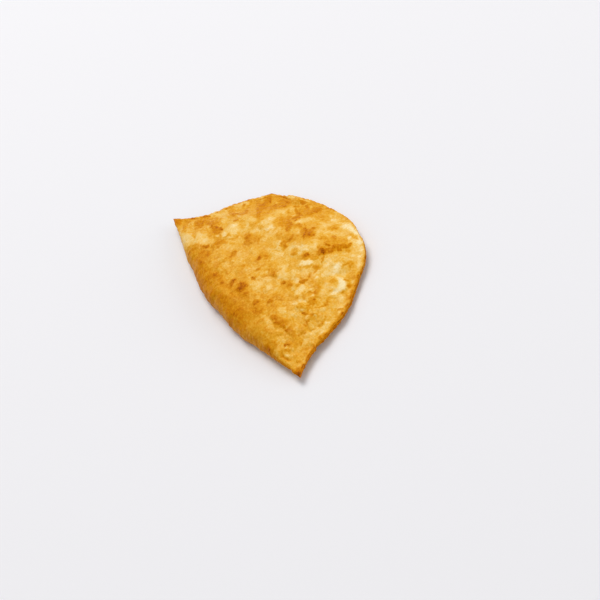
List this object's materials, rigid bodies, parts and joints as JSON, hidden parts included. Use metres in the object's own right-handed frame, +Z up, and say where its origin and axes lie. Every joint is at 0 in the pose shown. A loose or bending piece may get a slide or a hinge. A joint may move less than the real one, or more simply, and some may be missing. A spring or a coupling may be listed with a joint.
{
  "type": "cheburek",
  "caption": "Whole fried cheburek: a half-moon turnover of thin blistered dough with a pressed curved rim, a round fold and pointed corners.",
  "frame": {"origin": "on the surface the piece lies on, under the middle of its bounding box", "axes": "+X from one pointed corner to the other, along the fold; +Y from the fold towards the middle of the curved rim; +Z up through the upper sheet"},
  "size_m": [0.2098, 0.1058, 0.0179],
  "materials": {
    "crust": "golden fried dough with pale cream patches and orange-brown blisters, satin with a thin film of oil"
  },
  "bodies": {
    "root": {"cheburek": "crust"}
  },
  "joints": []
}
